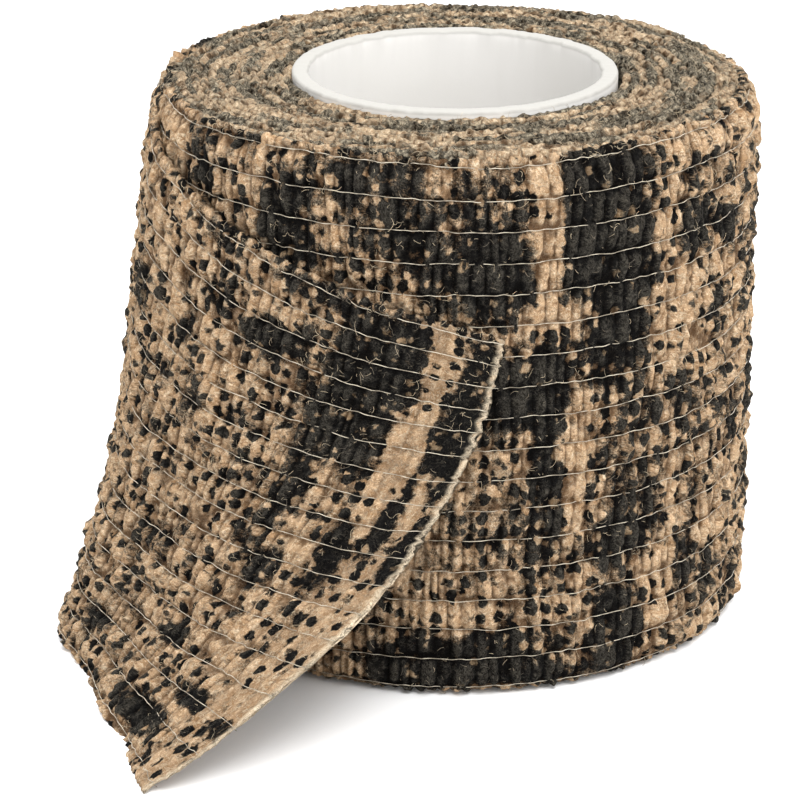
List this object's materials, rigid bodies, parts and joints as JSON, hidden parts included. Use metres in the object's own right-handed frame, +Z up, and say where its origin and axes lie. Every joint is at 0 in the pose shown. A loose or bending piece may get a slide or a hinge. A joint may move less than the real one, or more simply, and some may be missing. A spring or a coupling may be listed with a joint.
{
  "type": "self-gripping wrap tape roll",
  "caption": "Short roll of crinkled elastic self-gripping tape with a camouflage print on a white tube core, its loose end peeled off and standing round one side.",
  "frame": {"origin": "on the roll's axis, at the core's lower end, level with the face the roll stands on", "axes": "+Z up along the roll's axis; seen from above the tape winds outward counter-clockwise, and the tail runs round the -X side to the front at -Y"},
  "size_m": [0.0639, 0.0745, 0.0504],
  "materials": {
    "core": "matt off-white",
    "web_face": "crepe, tan printed with charcoal blotches and dots",
    "web_back": "crepe, the print showing through paler",
    "yarn": "thin satin elastic"
  },
  "bodies": {
    "roll": {"wound_back_web": "web_back", "wound_elastic_yarns": "yarn", "wound_face_web": "web_face"},
    "core": {"core_tube": "core"},
    "tail": {"tail_back_web": "web_back", "tail_elastic_yarns": "yarn", "tail_face_web": "web_face"}
  },
  "joints": [
    {"name": "core_push_out", "type": "slide", "parent": "roll", "child": "core", "axis": [0, 0, 1], "range_m": [0, 0.055]},
    {"name": "tail_peel", "type": "hinge", "parent": "roll", "child": "tail", "pos_m": [-0.02456, 0.01306, 0.025], "axis": [0, 0, -1], "range_deg": [0, 75]}
  ]
}
